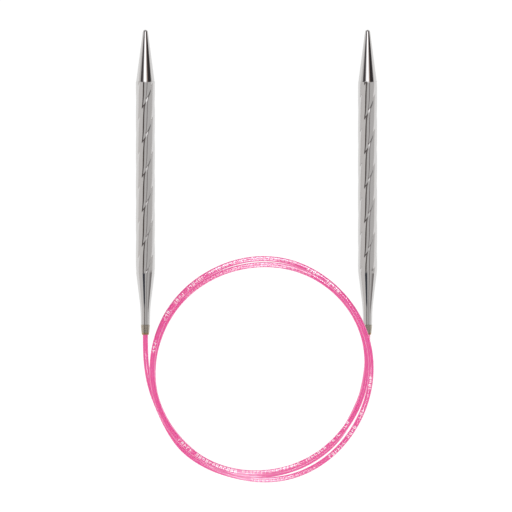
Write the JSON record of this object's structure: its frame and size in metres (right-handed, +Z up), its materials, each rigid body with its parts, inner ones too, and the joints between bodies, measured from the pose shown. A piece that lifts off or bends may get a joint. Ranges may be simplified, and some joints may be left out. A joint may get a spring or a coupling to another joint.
{
  "type": "circular knitting needle",
  "caption": "Circular knitting needle: two polished metal tips with conical points and grooved barrels, joined by a long thin flexible cable lying in a coil.",
  "frame": {"origin": "on the surface that the needle lies on, midway between the two tips and halfway along them", "axes": "+Z up from the surface, +Y along the tips towards their points, +X from the left tip to the right tip"},
  "size_m": [0.101, 0.1897, 0.0096],
  "materials": {
    "polished_metal": "mirror polished nickel plate",
    "brass_ferrule": "satin, olive brass",
    "crimp_metal": "plain crimped steel",
    "cable": "glossy pink coated cable with small white marks"
  },
  "bodies": {
    "cable": {"cable_coil": "cable", "left_cable_lead": "cable", "right_cable_lead": "cable"},
    "left_tip": {"left_point": "polished_metal", "left_barrel": "polished_metal", "left_ferrule": "brass_ferrule", "left_anchor": "crimp_metal", "left_cable_end": "cable"},
    "right_tip": {"right_point": "polished_metal", "right_barrel": "polished_metal", "right_ferrule": "brass_ferrule", "right_anchor": "crimp_metal", "right_cable_end": "cable"}
  },
  "joints": [
    {"name": "left_tip_swing", "type": "hinge", "parent": "cable", "child": "left_tip", "pos_m": [-0.04645, -0.0678, 0.004], "axis": [0, 0, 1], "range_deg": [-8, 25], "stiffness_Nm_per_rad": 0.05, "deforming": ["left_cable_lead"]},
    {"name": "right_tip_swing", "type": "hinge", "parent": "cable", "child": "right_tip", "pos_m": [0.04645, -0.0678, 0.004], "axis": [0, 0, -1], "range_deg": [-8, 25], "stiffness_Nm_per_rad": 0.05, "deforming": ["right_cable_lead"]}
  ]
}
